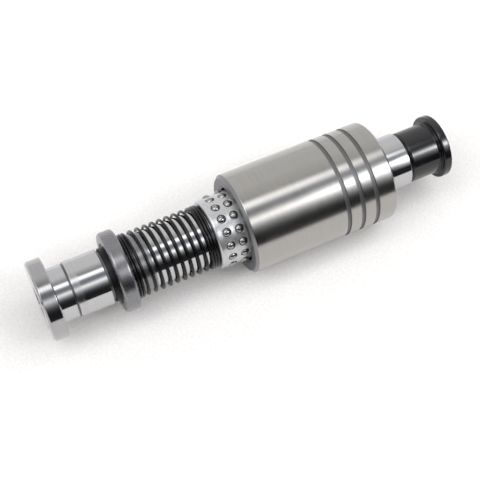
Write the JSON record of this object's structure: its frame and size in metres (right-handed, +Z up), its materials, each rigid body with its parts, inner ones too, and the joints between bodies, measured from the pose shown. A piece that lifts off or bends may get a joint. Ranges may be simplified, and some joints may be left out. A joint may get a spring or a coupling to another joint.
{
  "type": "ball bearing guide post set",
  "caption": "Die-set guide post with a bolted foot flange, spring seat, spring, ball cage and grooved guide bush that slides and turns on the balls, ending in a black cage stopper.",
  "frame": {"origin": "middle of the assembly's box, on the axis of the post, half way along its length", "axes": "+X along the post's axis from the foot flange to the black cage stopper, +Z up with the set lying down"},
  "size_m": [0.1918, 0.0456, 0.0456],
  "materials": {
    "polished_steel": "hardened steel, ground and polished",
    "ground_steel": "cylindrically ground, satin, fine lines round the axis",
    "dull_steel": "barrel-finished, dull satin",
    "spring_steel": "oil-hardened spring wire, dark, slightly glossy",
    "black_steel": "black oxide",
    "aluminium": "turned, matte",
    "ball_steel": "polished bearing steel",
    "black_plastic": "moulded, glossy"
  },
  "bodies": {
    "post": {"guide_post": "polished_steel", "foot_flange": "polished_steel", "foot_screw": "black_steel", "retaining_ring": "black_steel", "cage_stopper": "black_plastic", "stopper_screw": "black_steel"},
    "spring_seat": {"spring_seat": "dull_steel"},
    "bush": {"guide_bush": "ground_steel"},
    "spring": {"spring": "spring_steel"},
    "cage": {"ball_cage": "aluminium", "ball_1_01": "ball_steel", "ball_1_02": "ball_steel", "ball_1_03": "ball_steel", "ball_1_04": "ball_steel", "ball_1_05": "ball_steel", "ball_1_06": "ball_steel", "ball_1_07": "ball_steel", "ball_1_08": "ball_steel", "ball_1_09": "ball_steel", "ball_1_10": "ball_steel", "ball_1_11": "ball_steel", "ball_1_12": "ball_steel", "ball_1_13": "ball_steel", "ball_1_14": "ball_steel", "ball_1_15": "ball_steel", "ball_1_16": "ball_steel", "ball_2_01": "ball_steel", "ball_2_02": "ball_steel", "ball_2_03": "ball_steel", "ball_2_04": "ball_steel", "ball_2_05": "ball_steel", "ball_2_06": "ball_steel", "ball_2_07": "ball_steel", "ball_2_08": "ball_steel", "ball_2_09": "ball_steel", "ball_2_10": "ball_steel", "ball_2_11": "ball_steel", "ball_2_12": "ball_steel", "ball_2_13": "ball_steel", "ball_2_14": "ball_steel", "ball_2_15": "ball_steel", "ball_2_16": "ball_steel", "ball_3_01": "ball_steel", "ball_3_02": "ball_steel", "ball_3_03": "ball_steel", "ball_3_04": "ball_steel", "ball_3_05": "ball_steel", "ball_3_06": "ball_steel", "ball_3_07": "ball_steel", "ball_3_08": "ball_steel", "ball_3_09": "ball_steel", "ball_3_10": "ball_steel", "ball_3_11": "ball_steel", "ball_3_12": "ball_steel", "ball_3_13": "ball_steel", "ball_3_14": "ball_steel", "ball_3_15": "ball_steel", "ball_3_16": "ball_steel"}
  },
  "joints": [
    {"name": "bush_turn", "type": "hinge", "parent": "post", "child": "spring_seat", "pos_m": [-0.0636, 0, 0], "axis": [1, 0, 0], "continuous": true},
    {"name": "bush_slide", "type": "slide", "parent": "spring_seat", "child": "bush", "axis": [1, 0, 0], "range_m": [-0.02, 0.04]},
    {"name": "cage_slide", "type": "slide", "parent": "post", "child": "spring", "axis": [1, 0, 0], "range_m": [-0.01, 0.02], "deforming": ["spring"]},
    {"name": "cage_turn", "type": "hinge", "parent": "spring", "child": "cage", "pos_m": [-0.0186, 0, 0], "axis": [1, 0, 0], "continuous": true}
  ],
  "couplings": [
    {"joint": "cage_slide", "follows": "bush_slide", "ratio": 0.5},
    {"joint": "cage_turn", "follows": "bush_turn", "ratio": 0.569}
  ]
}
